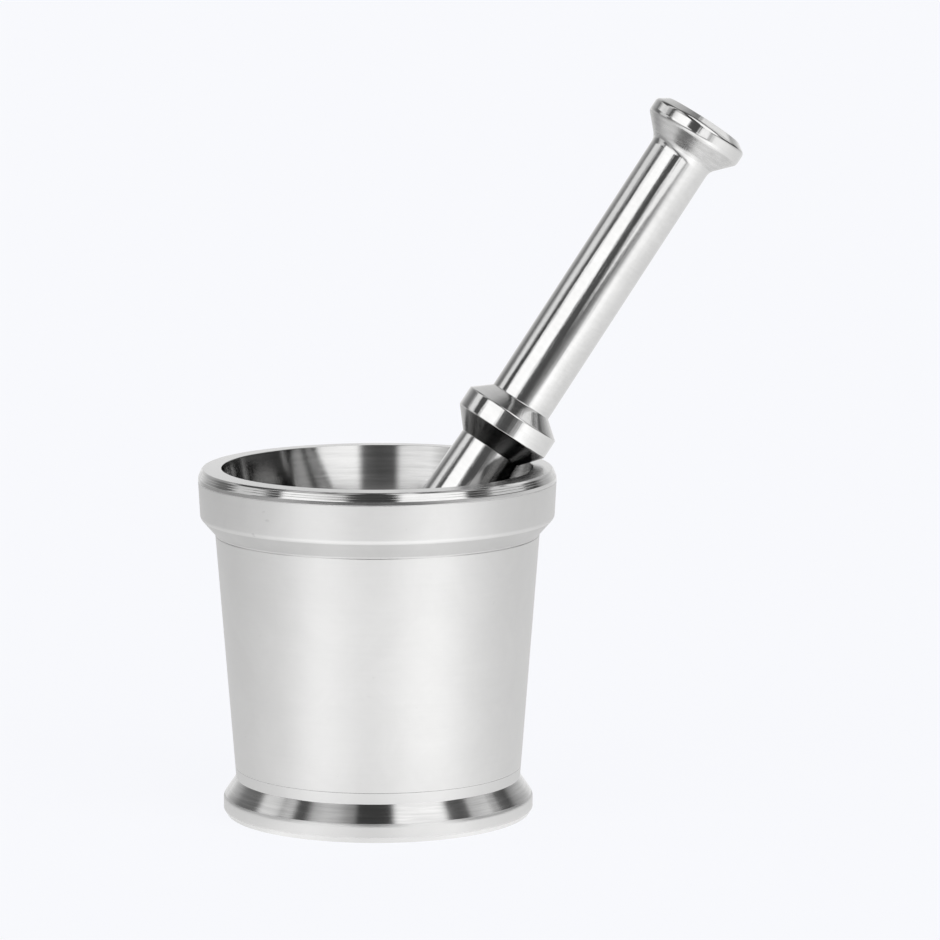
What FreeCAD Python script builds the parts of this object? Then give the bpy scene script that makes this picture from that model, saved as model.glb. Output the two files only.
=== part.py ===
import FreeCAD, Part
import math
import os

# A turned stainless steel mortar, with its solid steel pestle leaning in it.
# Millimetres. The origin is the centre of the face that the mortar stands on,
# +Z is up, and the pestle leans towards +X with its knob a little towards +Y.

# Foot of the mortar
FOOT_RADIUS = 32.6
FOOT_BAND_HEIGHT = 3.7
FOOT_CHAMFER_WIDTH = 0.7
FOOT_CHAMFER_HEIGHT = 1.1
RECESS_RADIUS = 27.0
RECESS_DEPTH = 0.8
RECESS_SLOPE = 0.5

# Tapered body of the mortar
WAIST_RADIUS = 29.95
WAIST_HEIGHT = 7.6
NECK_RADIUS = 34.0
NECK_HEIGHT = 59.5

# Rim band and lip
BAND_FOOT_RADIUS = 37.1
BAND_FOOT_HEIGHT = 63.0
RIM_RADIUS = 37.5
BAND_TOP_HEIGHT = 70.7
LIP_EDGE_RADIUS = 37.45
LIP_EDGE_HEIGHT = 71.5
LIP_SHOULDER_RADIUS = 36.85
LIP_SHOULDER_HEIGHT = 72.85
LIP_CROWN_RADIUS = 36.5
LIP_CROWN_HEIGHT = 73.2
MOUTH_RADIUS = 32.65
MORTAR_HEIGHT = 73.3

# Inside of the cup: a flared mouth, a tapered wall, a wide corner and a dished floor
FLARE_RADIUS = 30.3
FLARE_HEIGHT = 58.0
FLARE_BLEND = 60.0
WALL_FOOT_RADIUS = 27.0
WALL_FOOT_HEIGHT = 14.5
WALL_FOOT_ROUNDING = 11.0
FLOOR_HEIGHT = 12.0

# Pestle, measured along its own axis from the centre of its rounded end
PESTLE_LENGTH = 155.68
HEAD_RADIUS = 10.8
HEAD_DOME_HEIGHT = 3.2
HEAD_LENGTH = 9.5
HEAD_NECK_RADIUS = 8.9
HEAD_NECK_LENGTH = 5.0
SHAFT_RADIUS = 7.0
HANDLE_RADIUS = 6.85
COLLAR_RADIUS = 10.6
COLLAR_BAND_WIDTH = 4.2
COLLAR_LOWER_CONE = 4.25
COLLAR_UPPER_CONE = 3.05
COLLAR_TO_TOP = 77.9
KNOB_RADIUS = 10.85
KNOB_BAND_WIDTH = 2.75
KNOB_FLARE = 4.3
KNOB_CHAMFER_WIDTH = 2.1
KNOB_CHAMFER_HEIGHT = 1.4
KNOB_DOME_HEIGHT = 0.4

# How the pestle leans on the lip
LEAN_ANGLE = 33.63
LEAN_DIRECTION = 10.1
LEAN_RADIUS = 21.85
LENGTH_ABOVE_LIP = 86.28

# Roundings of turned edges
CRISP_EDGE = 0.12
FINE_EDGE = 0.25
SOFT_EDGE = 0.6
ROLLED_EDGE = 1.4
LIP_EDGE = 1.5
HEAD_EDGE = 4.0
HEAD_SHOULDER = 5.0
HEAD_BLEND = 14.0
COLLAR_EDGE = 0.45
KNOB_BLEND = 3.0
KNOB_LOWER_EDGE = 1.5
KNOB_UPPER_EDGE = 1.1

SHARP = 0.0
FULL_TURN = 360.0
UP = FreeCAD.Vector(0, 0, 1)
ORIGIN = FreeCAD.Vector(0, 0, 0)
PROFILE_PLANE = Part.Plane(ORIGIN, FreeCAD.Vector(0, -1, 0))


def point(radius, height):
    """Point of a profile in the XZ plane."""
    return FreeCAD.Vector(radius, 0, height)


def dome_middle(apex, rim):
    """Halfway point of a spherical cap that is level at its apex, on the axis."""
    rise = apex.z - rim.z
    sphere_radius = (rim.x ** 2 + rise ** 2) / (2 * abs(rise))
    half_radius = rim.x / 2
    fall = sphere_radius - math.sqrt(sphere_radius ** 2 - half_radius ** 2)
    return point(half_radius, apex.z - math.copysign(fall, rise))


def stretch(start, end):
    """One edge of a profile: a cap where it slopes up to the axis, else a straight line."""
    ends = [point(radius, height) for radius, height, rounding in (start, end)]
    apex, rim = sorted(ends, key=lambda place: place.x)
    if apex.x > 0 or apex.z == rim.z:
        return Part.LineSegment(*ends).toShape()
    return Part.Arc(ends[0], dome_middle(apex, rim), ends[1]).toShape()


def turned(corners):
    """Turned solid from (radius, height, rounding) corners, listed from axis to axis."""
    outline = [stretch(start, end) for start, end in zip(corners, corners[1:])]
    roundings = []
    for index, (radius, height, rounding) in enumerate(corners[1:-1]):
        if rounding > SHARP:
            corner = Part.ChFi2d.FilletAlgo(outline[index], outline[index + 1], PROFILE_PLANE)
            corner.perform(rounding)
            arc, outline[index], outline[index + 1] = corner.result(point(radius, height))
            roundings.append(arc)
    axis = Part.LineSegment(outline[-1].Vertexes[-1].Point, outline[0].Vertexes[0].Point)
    closed = Part.Wire(Part.sortEdges(outline + roundings + [axis.toShape()])[0])
    return Part.Face(closed).revolve(ORIGIN, UP, FULL_TURN)


def foot_corners():
    """Underside, standing ring and bright cone of the mortar's foot."""
    return [
        (0, RECESS_DEPTH, SHARP),
        (RECESS_RADIUS, RECESS_DEPTH, SHARP),
        (RECESS_RADIUS + RECESS_SLOPE, 0, SHARP),
        (FOOT_RADIUS - FOOT_CHAMFER_WIDTH, 0, SHARP),
        (FOOT_RADIUS, FOOT_CHAMFER_HEIGHT, FINE_EDGE),
        (FOOT_RADIUS, FOOT_BAND_HEIGHT, ROLLED_EDGE),
        (WAIST_RADIUS, WAIST_HEIGHT, FINE_EDGE),
    ]


def rim_corners():
    """Top of the body, rim band and lip, up to the mouth."""
    return [
        (NECK_RADIUS, NECK_HEIGHT, FINE_EDGE),
        (BAND_FOOT_RADIUS, BAND_FOOT_HEIGHT, ROLLED_EDGE),
        (RIM_RADIUS, BAND_TOP_HEIGHT, SOFT_EDGE),
        (LIP_EDGE_RADIUS, LIP_EDGE_HEIGHT, LIP_EDGE),
        (LIP_SHOULDER_RADIUS, LIP_SHOULDER_HEIGHT, SOFT_EDGE),
        (LIP_CROWN_RADIUS, LIP_CROWN_HEIGHT, FINE_EDGE),
        (MOUTH_RADIUS, MORTAR_HEIGHT, CRISP_EDGE),
    ]


def cup_corners():
    """Wall and floor inside the cup."""
    return [
        (FLARE_RADIUS, FLARE_HEIGHT, FLARE_BLEND),
        (WALL_FOOT_RADIUS, WALL_FOOT_HEIGHT, WALL_FOOT_ROUNDING),
        (0, FLOOR_HEIGHT, SHARP),
    ]


def make_mortar():
    """Cup, body, rim band and foot, turned in one piece."""
    return turned(foot_corners() + rim_corners() + cup_corners())


def striking_end_corners():
    """Rounded striking end and the blend from it into the shaft."""
    return [
        (0, 0, SHARP),
        (HEAD_RADIUS, HEAD_DOME_HEIGHT, HEAD_EDGE),
        (HEAD_RADIUS, HEAD_LENGTH, HEAD_SHOULDER),
        (HEAD_NECK_RADIUS, HEAD_LENGTH + HEAD_NECK_LENGTH, HEAD_BLEND),
    ]


def collar_corners():
    """Shaft, collar with a cone on each side, and handle."""
    band_foot = PESTLE_LENGTH - COLLAR_TO_TOP
    band_top = band_foot + COLLAR_BAND_WIDTH
    return [
        (SHAFT_RADIUS, band_foot - COLLAR_LOWER_CONE, FINE_EDGE),
        (COLLAR_RADIUS, band_foot, COLLAR_EDGE),
        (COLLAR_RADIUS, band_top, COLLAR_EDGE),
        (HANDLE_RADIUS, band_top + COLLAR_UPPER_CONE, FINE_EDGE),
    ]


def knob_corners():
    """Flare, band, chamfer and shallow dome of the knob."""
    crown = PESTLE_LENGTH - KNOB_DOME_HEIGHT
    band_top = crown - KNOB_CHAMFER_HEIGHT
    band_foot = band_top - KNOB_BAND_WIDTH
    return [
        (HANDLE_RADIUS, band_foot - KNOB_FLARE, KNOB_BLEND),
        (KNOB_RADIUS, band_foot, KNOB_LOWER_EDGE),
        (KNOB_RADIUS, band_top, KNOB_UPPER_EDGE),
        (KNOB_RADIUS - KNOB_CHAMFER_WIDTH, crown, FINE_EDGE),
        (0, PESTLE_LENGTH, SHARP),
    ]


def make_pestle():
    """Solid steel pestle, turned in one piece and leaning on the lip."""
    pestle = turned(striking_end_corners() + collar_corners() + knob_corners())
    lean = FreeCAD.Rotation(FreeCAD.Vector(0, 1, 0), LEAN_ANGLE)
    turn = FreeCAD.Rotation(UP, LEAN_DIRECTION)
    direction = turn.multVec(lean.multVec(UP))
    at_lip = turn.multVec(point(LEAN_RADIUS, MORTAR_HEIGHT))
    length_below_lip = PESTLE_LENGTH - LENGTH_ABOVE_LIP
    pestle.Placement = FreeCAD.Placement(at_lip - direction * length_below_lip, turn * lean)
    return pestle


def main():
    os.makedirs("parts", exist_ok=True)
    nodes = {"mortar": make_mortar(), "pestle": make_pestle()}
    for name, solid in nodes.items():
        solid.exportStep(os.path.join("parts", name + ".step"))


main()
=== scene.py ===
import math

import bpy
import numpy as np
from mathutils import Matrix, Vector


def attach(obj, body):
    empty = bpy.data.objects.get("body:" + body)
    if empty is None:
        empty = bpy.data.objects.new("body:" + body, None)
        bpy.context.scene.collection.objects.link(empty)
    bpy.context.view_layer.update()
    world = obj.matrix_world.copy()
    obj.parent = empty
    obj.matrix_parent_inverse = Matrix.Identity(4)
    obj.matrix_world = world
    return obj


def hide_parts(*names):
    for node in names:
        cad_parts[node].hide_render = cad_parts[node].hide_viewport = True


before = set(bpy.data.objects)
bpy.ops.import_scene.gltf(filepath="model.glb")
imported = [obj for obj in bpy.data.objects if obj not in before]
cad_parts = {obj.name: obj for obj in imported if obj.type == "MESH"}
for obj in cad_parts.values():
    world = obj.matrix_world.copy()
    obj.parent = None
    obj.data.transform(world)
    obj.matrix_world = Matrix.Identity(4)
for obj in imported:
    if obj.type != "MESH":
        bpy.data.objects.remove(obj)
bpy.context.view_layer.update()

# A turned stainless steel mortar with its solid steel pestle leaning in it. The profiles
# are in millimetres, as (radius, height, rounding) corners listed from axis to axis, and
# everything else is in metres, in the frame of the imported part.
MM = 0.001
SHARP = 0.0

# Mortar: foot, tapered body, rim band and lip, then the inside of the cup
FOOT_EDGE = (32.6, 1.1, 0.12)
WAIST = (29.95, 7.6, 0.12)
NECK = (34.0, 59.5, 0.05)
BAND_TOP = (37.5, 70.7, 0.05)
LIP_EDGE = (37.45, 71.5, 0.5)
LIP_SHOULDER = (36.85, 72.85, 0.3)
LIP_CROWN = (36.5, 73.2, 0.2)
MOUTH = (32.65, 73.3, 0.12)
FOOT_CORNERS = [
    (0.0, 0.8, SHARP),
    (27.0, 0.8, 0.15),
    (27.5, 0.0, 0.12),
    (31.9, 0.0, 0.12),
    FOOT_EDGE,
    (32.6, 3.7, 1.4),
    WAIST,
]
BAND_FOOT = (37.1, 63.0, 1.4)
CUP_CORNERS = [(30.3, 58.0, 60.0), (27.0, 14.5, 11.0), (0.0, 12.0, SHARP)]

# Fine V-shaped lines cut by the lathe: widths, depths, and how far along its stretch each
# one lies, as a share of the stretch
SCORE_WIDTH = 0.16
SCORE_DEPTH = 0.05
BODY_SCORE = 0.046
BODY_SCORE_DEPTH = 0.018
CREASE_WIDTH = 0.36
CREASE_DEPTH = 0.10
LIP_SCORES = (0.36, 0.70)
LIP_SCORE_WIDTH = 0.11
LIP_SCORE_DEPTH = 0.015

# Heights between the finishes of the mortar, one of them the painted shade under the band, and
# the radius inside which the cup starts
EDGE_LINE = (0.9, 1.25)
CONE = (4.0, 7.64)
UNDER_BAND = (59.6, 62.6)
POLISHED_RIM = 70.62
BRUSHED_LIP = 73.1
ABOVE_FOOT = 8.0
CUP_RADIUS = 32.75

# Pestle, along its own axis from the centre of its rounded end
PESTLE_LENGTH = 155.68
SHAFT_RADIUS = 7.0
HANDLE_RADIUS = 6.85
COLLAR_RADIUS = 10.6
COLLAR_FOOT = 77.78
COLLAR_TOP = 81.98
KNOB_RADIUS = 10.85
KNOB_FOOT = 151.13
KNOB_TOP = 153.88
KNOB_CROWN = 155.28
FLARE_LENGTH = 4.3
LOWER_CONE = 4.25
UPPER_CONE = 3.05
KNOB_CHAMFER = 2.1
HEAD_DOME = 2.2
HEAD_CORNERS = [(0.0, 0.0, SHARP), (10.8, 3.2, 4.0), (10.8, 9.5, 5.0), (8.9, 14.5, 14.0)]
COLLAR_CORNERS = [
    (SHAFT_RADIUS, COLLAR_FOOT - LOWER_CONE, 0.25),
    (COLLAR_RADIUS, COLLAR_FOOT, 0.45),
    (COLLAR_RADIUS, COLLAR_TOP, 0.45),
    (HANDLE_RADIUS, COLLAR_TOP + UPPER_CONE, 0.25),
]
KNOB_CORNERS = [
    (HANDLE_RADIUS, KNOB_FOOT - FLARE_LENGTH, 3.0),
    (KNOB_RADIUS, KNOB_FOOT, 1.5),
    (KNOB_RADIUS, KNOB_TOP, 1.1),
    (KNOB_RADIUS - KNOB_CHAMFER, KNOB_CROWN, 0.25),
    (0.0, PESTLE_LENGTH, SHARP),
]

# How far the finishes of the pestle stay from the edges next to them
FLARE_START = 0.1
EDGE_MARGIN = 0.15

# How the pestle leans on the lip
LEAN_ANGLE = math.radians(33.63)
LEAN_DIRECTION = math.radians(10.1)
LEAN_RADIUS = 21.85
LIP_HEIGHT = 73.3
LENGTH_BELOW_LIP = 69.4

# Fineness of the meshes: the longest step along a profile, the widest turn of a rounding
# in one step, and two short steps at each end of a stretch, where they are less than this
# share of a whole step
MORTAR_SEGMENTS = 288
PESTLE_SEGMENTS = 224
LONGEST_STEP = 1.5
TURN_STEP = math.radians(9)
END_STEPS = (0.06, 0.18)
END_LIMIT = 0.4

# Camera
CAMERA_TARGET = Vector((0.01937, 0.0, 0.07258))
CAMERA_DISTANCE = 1.0
CAMERA_ELEVATION = math.radians(8.28)
CAMERA_LENS_MM = 183.03
CAMERA_CLIPS = (0.01, 100.0)
SENSOR_MM = 36.0


# ---------------------------------------------------------------- profiles
def cap_of(start, end):
    """(centre height, radius) of the spherical cap that slopes up to the axis, or None."""
    apex, rim = (start, end) if start[0] < end[0] else (end, start)
    rise = apex[1] - rim[1]
    if apex[0] > 0 or rise == 0:
        return None
    radius = (rim[0] ** 2 + rise ** 2) / (2 * abs(rise))
    return apex[1] - math.copysign(radius, rise), radius


def centre_of(cap):
    """Centre of a cap in the plane of the profile, or None for a straight stretch."""
    return None if cap is None else np.array([0.0, cap[0]])


def heading(corner, other, cap, outgoing):
    """Unit direction of travel along a stretch at its corner."""
    away = other - corner if outgoing else corner - other
    if cap is None:
        return away / np.linalg.norm(away)
    spoke = corner - centre_of(cap)
    along = np.array([-spoke[1], spoke[0]]) / np.linalg.norm(spoke)
    return along if along @ away > 0 else -along


def centre_between_lines(here, ways, inward, radius):
    """Centre of the arc that rounds the corner of two straight stretches."""
    crossing = np.array([ways[0], -ways[1]]).T
    steps = np.linalg.solve(crossing, (inward[1] - inward[0]) * radius)
    return here + inward[0] * radius + ways[0] * steps[0]


def centre_by_cap(here, ways, inward, caps, radius):
    """Centre of the arc that rounds the corner of a straight stretch and a cap."""
    curved = 0 if caps[0] else 1
    straight = 1 - curved
    middle = centre_of(caps[curved])
    nearer = math.copysign(1.0, (middle - here) @ inward[curved])
    reach = caps[curved][1] - nearer * radius
    start = here + inward[straight] * radius - middle
    way = ways[straight]
    half = math.sqrt((start @ way) ** 2 - start @ start + reach ** 2)
    shifts = [-(start @ way) + half, -(start @ way) - half]
    return middle + start + way * min(shifts, key=abs)


def rounded(before, corner, after):
    """Centre and the two tangent points of the arc that rounds a corner."""
    radius = corner[2]
    here = np.array(corner[:2])
    caps = cap_of(before, corner), cap_of(corner, after)
    ways = (
        heading(here, np.array(before[:2]), caps[0], False),
        heading(here, np.array(after[:2]), caps[1], True),
    )
    side = math.copysign(1.0, ways[0][0] * ways[1][1] - ways[0][1] * ways[1][0])
    inward = [np.array([-way[1], way[0]]) * side for way in ways]
    if caps[0] is None and caps[1] is None:
        centre = centre_between_lines(here, ways, inward, radius)
    else:
        centre = centre_by_cap(here, ways, inward, caps, radius)
    touching = []
    for cap, way in zip(caps, ways):
        if cap is None:
            touching.append(here + way * ((centre - here) @ way))
        else:
            middle = centre_of(cap)
            spoke = centre - middle
            touching.append(middle + spoke / np.linalg.norm(spoke) * cap[1])
    return centre, touching[0], touching[1]


def arc_points(centre, start, end):
    """Points along the shorter arc from start to end about centre."""
    first, last = (math.atan2(*(place - centre)[::-1]) for place in (start, end))
    turn = (last - first + math.pi) % (2 * math.pi) - math.pi
    radius = np.linalg.norm(start - centre)
    steps = abs(turn) / TURN_STEP, abs(turn) * radius / LONGEST_STEP
    count = max(2, math.ceil(max(steps)))
    angles = first + turn * np.linspace(0, 1, count + 1)
    return centre + radius * np.stack([np.cos(angles), np.sin(angles)], 1)


def line_points(start, end):
    """Points along a straight stretch, closer together near its two ends."""
    length = np.linalg.norm(end - start)
    count = max(1, math.ceil(length / LONGEST_STEP))
    shares = list(np.linspace(0, 1, count + 1))
    for near in END_STEPS:
        if near < END_LIMIT * length / count:
            shares += [near / length, 1 - near / length]
    return start + np.outer(sorted(shares), end - start)


def profile_points(corners):
    """Profile points (radius, height) with every corner rounded, from axis to axis."""
    here = np.array(corners[0][:2])
    stretches = []
    for before, corner, after in zip(corners, corners[1:], corners[2:]):
        bend = centre_of(cap_of(before, corner))
        if corner[2] > SHARP:
            centre, start, end = rounded(before, corner, after)
            stretches += [(bend, here, start), (centre, start, end)]
        else:
            end = np.array(corner[:2])
            stretches.append((bend, here, end))
        here = end
    bend = centre_of(cap_of(corners[-2], corners[-1]))
    stretches.append((bend, here, np.array(corners[-1][:2])))
    points = [np.array(corners[0][:2])]
    for centre, start, end in stretches:
        run = line_points(start, end) if centre is None else arc_points(centre, start, end)
        points += list(run[1:])
    return np.array(points)


def scored(start, end, share, width=SCORE_WIDTH, depth=SCORE_DEPTH):
    """Three corners of a V-shaped line cut into the stretch from start to end."""
    first, last = np.array(start[:2]), np.array(end[:2])
    along = (last - first) / np.linalg.norm(last - first)
    inward = np.array([-along[1], along[0]])
    middle = first + (last - first) * share
    places = (middle - along * width / 2, middle + inward * depth, middle + along * width / 2)
    return [(place[0], place[1], depth / 2) for place in places]


def mortar_corners():
    """Profile of the mortar with the fine lines that the lathe left on it."""
    corners = FOOT_CORNERS + scored(WAIST, NECK, BODY_SCORE, depth=BODY_SCORE_DEPTH)
    length = math.dist(WAIST[:2], NECK[:2])
    corners += scored(WAIST, NECK, 1 - CREASE_WIDTH / 2 / length, CREASE_WIDTH, CREASE_DEPTH)
    length = math.dist(BAND_FOOT[:2], BAND_TOP[:2])
    corners += [BAND_FOOT] + scored(BAND_FOOT, BAND_TOP, 1 - SCORE_WIDTH / 2 / length)
    corners += [LIP_EDGE]
    for share in LIP_SCORES:
        corners += scored(LIP_EDGE, LIP_SHOULDER, share, LIP_SCORE_WIDTH, LIP_SCORE_DEPTH)
    return corners + [LIP_SHOULDER, LIP_CROWN, MOUTH] + CUP_CORNERS


# ---------------------------------------------------------------- meshes
def ringed(angles, radii, heights):
    """A ring of places per radius, with one place on the axis before and one after them."""
    rings = np.stack(
        [
            np.outer(radii, np.cos(angles)),
            np.outer(radii, np.sin(angles)),
            np.outer(heights[1:-1], np.ones(len(angles))),
        ],
        2,
    )
    poles = [[[0, 0, height]] for height in (heights[0], heights[-1])]
    return np.concatenate([poles[0], rings.reshape(-1, 3), poles[1]])


def turned_faces(rings, segments):
    """Faces round each stretch of the profile, from one pole over the rings to the other."""
    pairs = [(turn, (turn + 1) % segments) for turn in range(segments)]
    faces = [[0, 1 + b, 1 + a] for a, b in pairs]
    for ring in range(rings - 1):
        base = 1 + ring * segments
        above = base + segments
        faces += [[base + a, base + b, above + b, above + a] for a, b in pairs]
    base = 1 + (rings - 1) * segments
    return faces + [[base + a, base + b, base + segments] for a, b in pairs]


def lathe(name, points, segments, steels, steel_of):
    """Closed piece turned about Z, with its own steel on each stretch of the profile."""
    points = points * MM
    runs = np.concatenate([[0.0], np.cumsum(np.linalg.norm(np.diff(points, axis=0), axis=1))])
    angles = np.linspace(0, 2 * math.pi, segments, endpoint=False)
    rings = len(points) - 2
    faces = turned_faces(rings, segments)
    indices = [steels.index(steel_of(start, end)) for start, end in zip(points, points[1:])]
    mesh = bpy.data.meshes.new(name)
    mesh.from_pydata(ringed(angles, points[1:-1, 0], points[:, 1]).tolist(), [], faces)
    mesh.polygons.foreach_set("material_index", np.repeat(indices, segments).tolist())
    mesh.polygons.foreach_set("use_smooth", [True] * len(faces))
    turns = ringed(angles, np.ones(rings), runs).astype(np.float32)
    turning = mesh.attributes.new("turning", "FLOAT_VECTOR", "POINT")
    turning.data.foreach_set("vector", turns.ravel())
    add_map(mesh, segments, runs)
    mesh.update()
    for material in steels:
        mesh.materials.append(material)
    piece = bpy.data.objects.new(name, mesh)
    bpy.context.scene.collection.objects.link(piece)
    return piece


def add_map(mesh, segments, runs):
    """UV map of turn round the axis and run along the profile, for the grain of the steel."""
    loops = np.zeros(len(mesh.loops), np.int32)
    mesh.loops.foreach_get("vertex_index", loops)
    last = len(mesh.vertices) - 1
    at_pole = (loops == 0) | (loops == last)
    row = np.where(at_pole, np.where(loops == 0, 0, len(runs) - 1), (loops - 1) // segments + 1)
    turn = np.where(at_pole, 0, (loops - 1) % segments) / segments
    starts = np.zeros(len(mesh.polygons), np.int32)
    totals = np.zeros(len(mesh.polygons), np.int32)
    mesh.polygons.foreach_get("loop_start", starts)
    mesh.polygons.foreach_get("loop_total", totals)
    for start, total in zip(starts, totals):
        own = turn[start : start + total]
        # A face across the seam runs on past a whole turn, and a pole takes its face's middle
        if own.max() - own.min() > 0.5:
            own[own < 0.5] += 1.0
        if total == 3:
            pole = at_pole[start : start + total]
            own[pole] = own[~pole].mean()
    layer = mesh.uv_layers.new(name="grain")
    layer.data.foreach_set("uv", np.stack([turn, runs[row]], 1).astype(np.float32).ravel())


# ---------------------------------------------------------------- materials
class Nodes:
    """Short calls for building a node tree."""

    def __init__(self, tree):
        self.tree = tree

    def node(self, kind, **settings):
        made = self.tree.nodes.new(kind)
        for key, value in settings.items():
            setattr(made, key, value)
        return made

    def link(self, output, socket):
        self.tree.links.new(output, socket)

    def put(self, socket, value):
        if isinstance(value, bpy.types.NodeSocket):
            self.link(value, socket)
        else:
            socket.default_value = value

    def math(self, operation, *values):
        made = self.node("ShaderNodeMath", operation=operation)
        for socket, value in zip(made.inputs, values):
            self.put(socket, value)
        return made.outputs[0]

    def plus(self, first, second, times):
        return self.math("ADD", first, self.math("MULTIPLY", second, times))

    def shared(self, share, first, second):
        return self.plus(self.math("MULTIPLY", first, share), second, 1 - share)

    def ramp(self, value, stops):
        made = self.node("ShaderNodeValToRGB")
        elements = made.color_ramp.elements
        while len(elements) < len(stops):
            elements.new(0.5)
        for element, (place, level) in zip(elements, stops):
            element.position = place
            element.color = (level, level, level, 1.0)
        self.put(made.inputs["Fac"], value)
        return made.outputs["Color"]

    def blend(self, share, first, second):
        made = self.node("ShaderNodeMix", data_type="RGBA")
        self.put(made.inputs["Factor"], share)
        self.put(made.inputs["A"], first)
        self.put(made.inputs["B"], second)
        return made.outputs["Result"]

    def remap(self, value, low, high, to_low, to_high):
        made = self.node("ShaderNodeMapRange")
        keys = "From Min", "From Max", "To Min", "To Max"
        for key, limit in zip(keys, (low, high, to_low, to_high)):
            made.inputs[key].default_value = limit
        self.put(made.inputs["Value"], value)
        return made.outputs["Result"]

    def noise(self, vector, scale, detail, roughness, distortion=0.0):
        made = self.node("ShaderNodeTexNoise")
        self.put(made.inputs["Vector"], vector)
        made.inputs["Scale"].default_value = scale
        made.inputs["Detail"].default_value = detail
        made.inputs["Roughness"].default_value = roughness
        made.inputs["Distortion"].default_value = distortion
        return made.outputs["Fac"]

    def stretched(self, vector, scales):
        made = self.node("ShaderNodeVectorMath", operation="MULTIPLY")
        self.put(made.inputs[0], vector)
        made.inputs[1].default_value = scales
        return made.outputs["Vector"]

    def mixed(self, share, first, second):
        """Give the tree a mix of two shaders as its surface."""
        choice = self.node("ShaderNodeMixShader")
        for socket, value in zip(choice.inputs, (share, first, second)):
            self.link(value, socket)
        output = next(node for node in self.tree.nodes if "Surface" in node.inputs)
        self.link(choice.outputs["Shader"], output.inputs["Surface"])

    def by_camera(self, unseen, seen):
        """Give the tree one surface for the camera and another for every other ray."""
        path = self.node("ShaderNodeLightPath")
        self.mixed(path.outputs["Is Camera Ray"], unseen, seen)

    def azimuth_share(self, x, y):
        """Azimuth round +Z from -Y, positive towards +X, as 0 to 1 for -180 to 180 degrees."""
        azimuth = self.math("ARCTAN2", x, self.math("MULTIPLY", y, -1.0))
        return self.math("MULTIPLY_ADD", azimuth, 0.5 / math.pi, 0.5)


STEEL_TINT = (0.622, 0.620, 0.617)

# Marks of the lathe and of use: noise scales (round the axis and along the profile for
# lines, per metre for the rest), their shares and heights, and the span of noise they use
TURNED_LINES = (2.2, 1100.0)
BROAD_AROUND = 0.6
BROAD_ALONG = 0.2
BROAD_BUMP = 1.6
FINE_SHARE = 0.6
STREAK_SHARE = 0.6
DRAWN_LINES = (11.0, 60.0)
CLOUD_SCALE = 90.0
GRAIN_SCALE = 2600.0
PIT_SCALE = 420.0
PIT_STRETCH = (1.0, 1.0, 1.7)
PIT_SPAN = (0.78, 0.86)
PIT_DEPTH = 0.008
NOISE_SPAN = (0.3, 0.7)
ANISOTROPY_TURN = 0.25


def steel(
    name,
    roughness,
    rough_spread,
    levels,
    clouds,
    line_bump,
    grain_bump,
    anisotropy,
    lines=TURNED_LINES,
    drawn_bump=0.0,
    pits=0.0,
    painted_shade_below=None,
):
    """Turned steel: fine lines round the axis, soft clouds, a fine grain, marks and pits.

    levels and clouds scale the brightness, the bumps are in millimetres, and the last argument
    is two heights and the level under the lower one, a painted shade that darkens the steel
    below them.
    """
    material = bpy.data.materials.new(name)
    material.use_nodes = True
    n = Nodes(material.node_tree)
    shader = n.tree.nodes["Principled BSDF"]
    turning = n.node("ShaderNodeAttribute", attribute_name="turning").outputs["Vector"]
    place = n.node("ShaderNodeTexCoord").outputs["Object"]

    def turned_noise(around, along, detail, roughness=0.55):
        stretched = n.stretched(turning, (around, around, along))
        return n.noise(stretched, 1.0, detail, roughness)

    around, along = lines
    fine = turned_noise(around, along, detail=6.0, roughness=0.62)
    broad = turned_noise(around * BROAD_AROUND, along * BROAD_ALONG, detail=4.0)
    cloud = n.noise(place, CLOUD_SCALE, detail=6.0, roughness=0.62, distortion=0.5)
    grain = n.noise(place, GRAIN_SCALE, detail=3.0, roughness=0.6)

    streak = n.shared(FINE_SHARE, fine, broad)
    level = n.remap(streak, *NOISE_SPAN, *levels)
    level = n.math("ADD", level, n.remap(cloud, *NOISE_SPAN, -clouds, clouds))
    height = n.math("MULTIPLY", fine, line_bump)
    height = n.plus(height, broad, line_bump * BROAD_BUMP)
    height = n.plus(height, grain, grain_bump)
    if drawn_bump:
        drawn = turned_noise(*DRAWN_LINES, detail=5.0, roughness=0.65)
        height = n.plus(height, drawn, drawn_bump)
    if pits:
        pit = n.noise(n.stretched(place, PIT_STRETCH), PIT_SCALE, detail=1.0, roughness=0.4)
        pit = n.remap(pit, *PIT_SPAN, 0.0, 1.0)
        level = n.plus(level, pit, -pits)
        height = n.plus(height, pit, -PIT_DEPTH)
    # Painted shade: the steel darkens below the lower height, down to the given level
    if painted_shade_below:
        low, high, depth = painted_shade_below
        sides = n.node("ShaderNodeSeparateXYZ")
        n.link(place, sides.inputs[0])
        level = n.math("MULTIPLY", level, n.remap(sides.outputs[2], low, high, depth, 1.0))
    colour = n.node("ShaderNodeVectorMath", operation="SCALE")
    colour.inputs[0].default_value = STEEL_TINT
    n.put(colour.inputs["Scale"], level)
    n.put(shader.inputs["Base Color"], colour.outputs["Vector"])

    rough = n.shared(STREAK_SHARE, streak, cloud)
    rough = n.remap(rough, *NOISE_SPAN, roughness - rough_spread, roughness + rough_spread)
    n.put(shader.inputs["Roughness"], rough)

    bump = n.node("ShaderNodeBump")
    bump.inputs["Strength"].default_value = 1.0
    bump.inputs["Distance"].default_value = MM
    n.put(bump.inputs["Height"], height)
    n.put(shader.inputs["Normal"], bump.outputs["Normal"])

    shader.inputs["Metallic"].default_value = 1.0
    shader.inputs["Anisotropic"].default_value = anisotropy
    shader.inputs["Anisotropic Rotation"].default_value = ANISOTROPY_TURN
    tangent = n.node("ShaderNodeTangent", direction_type="UV_MAP", uv_map="grain")
    n.put(shader.inputs["Tangent"], tangent.outputs["Tangent"])
    return material


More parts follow.
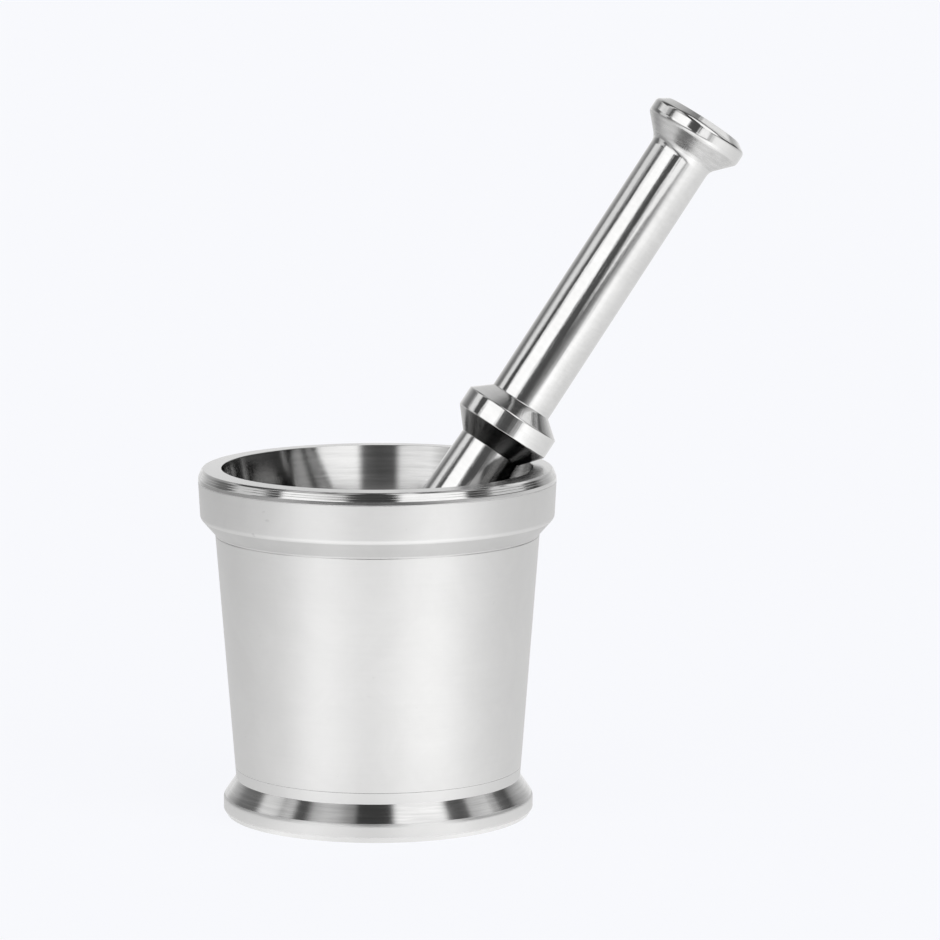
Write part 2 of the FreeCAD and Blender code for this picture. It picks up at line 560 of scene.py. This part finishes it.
SATIN = steel(
    "steel_satin", roughness=0.40, rough_spread=0.05, levels=(0.98, 1.02), clouds=0.035,
    line_bump=0.0009, grain_bump=0.0010, anisotropy=0.3, pits=0.14,
)
# A darker copy of the satin, a little rougher and more deeply lined, for the chamfer under the
# band: its darkness is painted shade
SHADED_NECK_STEEL = steel(
    "steel_under_band_painted_shade", roughness=0.42, rough_spread=0.05, levels=(0.84, 0.88), clouds=0.04,
    line_bump=0.0014, grain_bump=0.0010, anisotropy=0.3,
)
CONE_STEEL = steel(
    "steel_bright_cone", roughness=0.12, rough_spread=0.05, levels=(0.72, 1.10),
    clouds=0.03, line_bump=0.0075, grain_bump=0.0001, anisotropy=0.5, lines=(2.2, 1500.0),
)
LIP_STEEL = steel(
    "steel_polished_lip", roughness=0.10, rough_spread=0.04, levels=(0.82, 1.06),
    clouds=0.03, line_bump=0.0034, grain_bump=0.0002, anisotropy=0.3, lines=(5.0, 2400.0),
)
LIP_TOP = steel(
    "steel_brushed_lip", roughness=0.24, rough_spread=0.05, levels=(0.92, 1.04),
    clouds=0.04, line_bump=0.0020, grain_bump=0.0008, anisotropy=0.3, lines=(3.0, 1500.0),
)
# The lower cup is darkened towards the bottom by painted shade
CUP_STEEL = steel(
    "steel_cup", roughness=0.12, rough_spread=0.04, levels=(0.72, 1.08), clouds=0.03,
    line_bump=0.0034, grain_bump=0.0001, anisotropy=0.5, painted_shade_below=(0.040, 0.060, 0.62),
)
POLISHED = steel(
    "steel_polished", roughness=0.08, rough_spread=0.03, levels=(0.93, 1.03), clouds=0.04,
    line_bump=0.0012, grain_bump=0.0012, anisotropy=0.0, drawn_bump=0.026,
)
FLARE_STEEL = steel(
    "steel_brushed_flare", roughness=0.26, rough_spread=0.07, levels=(0.74, 1.04),
    clouds=0.09, line_bump=0.0050, grain_bump=0.0010, anisotropy=0.3,
)
END_STEEL = steel(
    "steel_turned_end", roughness=0.15, rough_spread=0.04, levels=(0.90, 1.03), clouds=0.04,
    line_bump=0.0012, grain_bump=0.0004, anisotropy=0.0,
)
# A darker and rougher copy of the pestle's steel for the cone under the collar: its darkness is
# painted shade
PAINTED_SHADE_STEEL = steel(
    "steel_turned_cone_painted_shade", roughness=0.20, rough_spread=0.05, levels=(0.58, 0.70),
    clouds=0.05, line_bump=0.0020, grain_bump=0.0004, anisotropy=0.3,
)
MORTAR_STEELS = (SATIN, CONE_STEEL, LIP_STEEL, LIP_TOP, CUP_STEEL, SHADED_NECK_STEEL)
PESTLE_STEELS = (POLISHED, FLARE_STEEL, PAINTED_SHADE_STEEL, END_STEEL)


# ---------------------------------------------------------------- pieces
def mortar_steel(start, end):
    """Steel of the mortar's stretch from start to end."""
    radius = (start[0] + end[0]) / 2 / MM
    height = (start[1] + end[1]) / 2 / MM
    if start[0] >= end[0] and height > ABOVE_FOOT and radius < CUP_RADIUS:
        return CUP_STEEL
    if height > BRUSHED_LIP:
        return LIP_TOP
    if height > POLISHED_RIM:
        return LIP_STEEL
    # Under the band the satin is darkened: painted shade
    if UNDER_BAND[0] < height < UNDER_BAND[1]:
        return SHADED_NECK_STEEL
    if CONE[0] < height < CONE[1] or EDGE_LINE[0] < height < EDGE_LINE[1]:
        return CONE_STEEL
    return SATIN


def pestle_steel(start, end):
    """Steel of the pestle's stretch from start to end."""
    height = (start[1] + end[1]) / 2 / MM
    if KNOB_FOOT - FLARE_LENGTH + FLARE_START < height < KNOB_FOOT - EDGE_MARGIN:
        return FLARE_STEEL
    if height > KNOB_CROWN or height < HEAD_DOME:
        return END_STEEL
    # The cone under the collar is darkened: painted shade
    if COLLAR_FOOT - LOWER_CONE < height < COLLAR_FOOT - EDGE_MARGIN:
        return PAINTED_SHADE_STEEL
    return POLISHED


def make_mortar():
    points = profile_points(mortar_corners())
    mortar = lathe("mortar_steel", points, MORTAR_SEGMENTS, MORTAR_STEELS, mortar_steel)
    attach(mortar, "mortar")
    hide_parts("mortar")


def make_pestle():
    points = profile_points(HEAD_CORNERS + COLLAR_CORNERS + KNOB_CORNERS)
    pestle = lathe("pestle_steel", points, PESTLE_SEGMENTS, PESTLE_STEELS, pestle_steel)
    lean = Matrix.Rotation(LEAN_DIRECTION, 4, "Z") @ Matrix.Rotation(LEAN_ANGLE, 4, "Y")
    along = lean.to_3x3() @ Vector((0, 0, 1))
    lip = Matrix.Rotation(LEAN_DIRECTION, 3, "Z") @ Vector((LEAN_RADIUS, 0, LIP_HEIGHT)) * MM
    pestle.data.transform(Matrix.Translation(lip - along * LENGTH_BELOW_LIP * MM) @ lean)
    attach(pestle, "pestle")
    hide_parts("pestle")


# ---------------------------------------------------------------- studio
BACKDROP = (0.939, 0.947, 0.982)
BRIGHTEST = 1.7

# Radiance of the walls at rising elevations, by azimuth in degrees round the object from
# its front, positive to the right. Each wall takes over between two elevations in degrees
HORIZON_WALL = [
    (-180, 1.2), (-170, 1.08), (-160, 1.0), (-150, 0.85), (-140, 0.7), (-124, 0.6),
    (-121, 0.30), (-112, 0.30), (-109, 0.85), (-88, 0.85), (-85, 0.12), (-66, 0.50),
    (-60, 0.85), (-50, 0.50), (-40, 0.28), (-20, 0.12), (0, 0.08), (12, 0.25), (20, 0.40),
    (40, 0.45), (60, 0.80), (66, 0.10), (106, 0.12), (129, 0.10), (134, 0.6), (140, 0.7),
    (150, 0.82), (160, 0.92), (170, 1.02), (180, 1.2),
]
LOW_WALL = [
    (-180, 0.95), (-160, 0.8), (-150, 0.68), (-140, 0.5), (-130, 0.35), (-123, 0.2),
    (-112, 0.2), (-109, 0.85), (-88, 0.85), (-85, 0.08), (-70, 0.35), (-60, 0.62),
    (-54, 0.80), (-48, 1.05), (-40, 1.45), (-17, 1.3), (-12, 0.14), (0, 0.10), (8, 0.14),
    (12, 0.2), (17, 1.55), (50, 1.5), (58, 0.8), (67, 0.05), (80, 0.02), (126, 0.02),
    (132, 0.3), (138, 0.55), (150, 0.7), (160, 0.8), (180, 0.95),
]
MIDDLE_WALL = [
    (-180, 0.80), (-170, 0.74), (-160, 0.66), (-150, 0.56), (-140, 0.42), (-135, 0.42),
    (-131, 0.80), (-116, 1.1), (-93, 1.1), (-90, 0.09), (-71, 0.09), (-67, 1.6), (-22, 1.6),
    (-18, 0.14), (-6, 0.10), (13, 0.08), (16, 1.6), (64, 1.6), (67, 0.08), (86, 0.08),
    (88, 0.95), (107, 0.95), (110, 0.08), (128, 0.08), (133, 0.42), (140, 0.55),
    (150, 0.62), (160, 0.70), (180, 0.80),
]
LIP_WALL = [
    (-180, 0.80), (-170, 0.74), (-160, 0.66), (-150, 0.56), (-140, 0.44), (-132, 0.26),
    (-112, 0.18), (-104, 0.9), (-82, 0.95), (-76, 0.30), (-70, 0.25), (-66, 1.5),
    (-22, 1.65), (-18, 0.14), (-6, 0.10), (13, 0.08), (16, 1.6), (62, 1.6), (66, 0.3),
    (80, 0.3), (86, 0.9), (112, 0.9), (116, 0.20), (127, 0.10), (133, 0.42), (140, 0.55),
    (150, 0.62), (160, 0.70), (180, 0.80),
]
HIGH_WALL = [
    (-180, 0.8), (-170, 0.75), (-160, 0.6), (-150, 0.34), (-140, 0.10), (-105, 0.10),
    (-102, 0.85), (-82, 0.85), (-78, 0.12), (-70, 0.12), (-63, 0.72), (-52, 0.90),
    (-42, 0.80), (-32, 0.50), (-24, 0.36), (-20, 0.07), (15, 0.07), (20, 1.45), (66, 1.5),
    (70, 0.12), (87, 0.12), (89, 0.72), (107, 0.72), (110, 0.06), (128, 0.06), (140, 0.25),
    (150, 0.4), (160, 0.6), (180, 0.8),
]
TOP = [(-180, 0.09), (180, 0.09)]
RISING_WALLS = [
    ((1.0, 7.0), LOW_WALL),
    ((11.0, 15.0), LIP_WALL),
    ((27.0, 30.0), MIDDLE_WALL),
    ((34.0, 39.0), HIGH_WALL),
    ((74.0, 82.0), TOP),
]

# Radiance of the floor as the object sees it, by the same azimuths, further and further
# away. Each floor takes over between two distances from the object in metres
# The floor closest to the foot is dimmer than the near floor: a painted contact shadow
SHADOWED_CLOSE_FLOOR = [
    (-180, 0.88), (-130, 0.85), (-95, 0.92), (-60, 1.10), (-38, 1.42), (-5, 1.20),
    (38, 1.44), (70, 1.18), (95, 1.0), (140, 0.90), (180, 0.88),
]
NEAR_FLOOR = [
    (-180, 0.90), (-130, 0.88), (-95, 0.98), (-60, 1.22), (-38, 1.64), (-5, 1.36),
    (38, 1.70), (70, 1.26), (95, 1.08), (140, 0.93), (180, 0.90),
]
FAR_FLOOR = [
    (-180, 0.90), (-160, 0.80), (-140, 0.50), (-120, 0.42), (-105, 0.45), (-60, 0.60),
    (-40, 1.15), (-24, 0.85), (0, 0.70), (18, 0.50), (28, 0.54), (35, 0.85), (44, 1.30),
    (70, 1.15), (95, 0.90), (140, 0.90), (180, 0.90),
]
DISTANT_FLOOR = [
    (-180, 0.90), (-130, 0.70), (-105, 0.35), (-60, 0.60), (-40, 0.20), (0, 0.12),
    (20, 0.25), (60, 0.50), (95, 0.50), (140, 0.70), (180, 0.90),
]
RECEDING_FLOORS = [
    ((0.05, 0.09), NEAR_FLOOR),
    ((0.36, 0.60), FAR_FLOOR),
    ((1.0, 1.7), DISTANT_FLOOR),
]
FLOOR_SIZE = 60.0
FLOOR_ALBEDO = 0.10
FLOOR_ROUGHNESS = 0.9
FLOOR_GLOW = 0.936
WORLD_MAP_SIZE = 1024

# Soft white cards, seen only in the steel: the place each is set out from, its azimuths and
# its elevations from there in degrees, its distance and its radiance. Their edges fade out
# over a share of their width and height
CARDS = {
    "front_card": ((0.075, 0.020, 0.145), (-6.0, 24.0), (-9.0, 7.0), 0.20, 1.4),
    "collar_card": ((0.045, 0.0, 0.085), (106.0, 120.0), (17.0, 52.0), 0.30, 1.15),
    "knob_card": ((0.080, 0.020, 0.145), (122.0, 141.0), (14.0, 50.0), 0.30, 1.15),
}
CARD_SOFTNESS = 0.16


def stops_of(table):
    """Stops of a colour ramp from a table of azimuths and radiances."""
    return [((azimuth + 180) / 360, level / BRIGHTEST) for azimuth, level in table]


def surroundings(n, share, measure, first, takeovers):
    """Light by azimuth share, passing from one table to the next as the measure grows."""
    light = n.ramp(share, stops_of(first))
    for (low, high), table in takeovers:
        passed = n.remap(measure, low, high, 0.0, 1.0)
        light = n.blend(passed, light, n.ramp(share, stops_of(table)))
    return light


def make_world():
    """Soft boxes and dark gaps round the object; the camera sees a plain pale backdrop."""
    world = bpy.data.worlds.new("studio")
    bpy.context.scene.world = world
    world.use_nodes = True
    n = Nodes(world.node_tree)
    direction = n.node("ShaderNodeSeparateXYZ")
    n.link(n.node("ShaderNodeTexCoord").outputs["Generated"], direction.inputs[0])
    x, y, z = direction.outputs
    elevation = n.math("DEGREES", n.math("ARCSINE", z))
    lights = n.tree.nodes["Background"]
    light = surroundings(n, n.azimuth_share(x, y), elevation, HORIZON_WALL, RISING_WALLS)
    n.put(lights.inputs["Color"], light)
    lights.inputs["Strength"].default_value = BRIGHTEST
    backdrop = n.node("ShaderNodeBackground")
    backdrop.inputs["Color"].default_value = BACKDROP + (1.0,)
    n.by_camera(lights.outputs["Background"], backdrop.outputs["Background"])
    world.cycles.sampling_method = "MANUAL"
    world.cycles.sample_map_resolution = WORLD_MAP_SIZE


def add_plane(name, corners):
    """Plane with a fresh node material, and the short calls for its tree."""
    mesh = bpy.data.meshes.new(name)
    mesh.from_pydata(corners, [], [(0, 1, 2, 3)])
    plane = bpy.data.objects.new(name, mesh)
    bpy.context.scene.collection.objects.link(plane)
    material = bpy.data.materials.new(name)
    material.use_nodes = True
    mesh.materials.append(material)
    return plane, Nodes(material.node_tree)


def make_floor():
    """Floor that the camera sees plain and pale, and the steel with the light of a studio."""
    half = FLOOR_SIZE / 2
    corners = [(-half, -half, 0), (half, -half, 0), (half, half, 0), (-half, half, 0)]
    n = add_plane("floor", corners)[1]
    seen = n.tree.nodes["Principled BSDF"]
    seen.inputs["Base Color"].default_value = (FLOOR_ALBEDO,) * 3 + (1.0,)
    seen.inputs["Roughness"].default_value = FLOOR_ROUGHNESS
    seen.inputs["Specular IOR Level"].default_value = 0.0
    seen.inputs["Emission Color"].default_value = BACKDROP + (1.0,)
    seen.inputs["Emission Strength"].default_value = FLOOR_GLOW
    place = n.node("ShaderNodeTexCoord").outputs["Object"]
    sides = n.node("ShaderNodeSeparateXYZ")
    n.link(place, sides.inputs[0])
    share = n.azimuth_share(sides.outputs[0], sides.outputs[1])
    distance = n.node("ShaderNodeVectorMath", operation="LENGTH")
    n.link(place, distance.inputs[0])
    glow = n.node("ShaderNodeEmission")
    light = surroundings(n, share, distance.outputs["Value"], SHADOWED_CLOSE_FLOOR, RECEDING_FLOORS)
    n.put(glow.inputs["Color"], light)
    glow.inputs["Strength"].default_value = BRIGHTEST
    n.by_camera(glow.outputs["Emission"], seen.outputs["BSDF"])


def make_card(name, seen_from, azimuths, elevations, distance, radiance):
    """White card with soft edges, which shows only as a reflection in the steel."""
    corners = []
    for side, level in ((0, 0), (1, 0), (1, 1), (0, 1)):
        azimuth, elevation = math.radians(azimuths[side]), math.radians(elevations[level])
        away = Vector((math.sin(azimuth), -math.cos(azimuth), math.tan(elevation)))
        corners.append(Vector(seen_from) + away * distance)
    card, n = add_plane(name, corners)
    sides = n.node("ShaderNodeSeparateXYZ")
    n.link(n.node("ShaderNodeTexCoord").outputs["Generated"], sides.inputs[0])
    edges = [n.math("PINGPONG", sides.outputs[axis], 0.5) for axis in (0, 2)]
    share = n.remap(n.math("MINIMUM", *edges), 0.0, CARD_SOFTNESS, 0.0, 1.0)
    clear = n.node("ShaderNodeBsdfTransparent")
    glow = n.node("ShaderNodeEmission")
    glow.inputs["Strength"].default_value = radiance
    n.mixed(share, clear.outputs["BSDF"], glow.outputs["Emission"])
    card.visible_camera = False
    card.visible_diffuse = False
    card.visible_shadow = False


def make_camera():
    camera = bpy.data.objects.new("camera", bpy.data.cameras.new("camera"))
    bpy.context.scene.collection.objects.link(camera)
    back = Vector((0, -math.cos(CAMERA_ELEVATION), math.sin(CAMERA_ELEVATION)))
    camera.location = CAMERA_TARGET + back * CAMERA_DISTANCE
    camera.rotation_euler = (math.pi / 2 - CAMERA_ELEVATION, 0, 0)
    camera.data.lens = CAMERA_LENS_MM
    camera.data.sensor_width = SENSOR_MM
    camera.data.clip_start, camera.data.clip_end = CAMERA_CLIPS
    bpy.context.scene.camera = camera


make_mortar()
make_pestle()
make_world()
make_floor()
for card_name, settings in CARDS.items():
    make_card(card_name, *settings)
make_camera()
bpy.context.scene.view_settings.view_transform = "Standard"

bpy.context.view_layer.update()
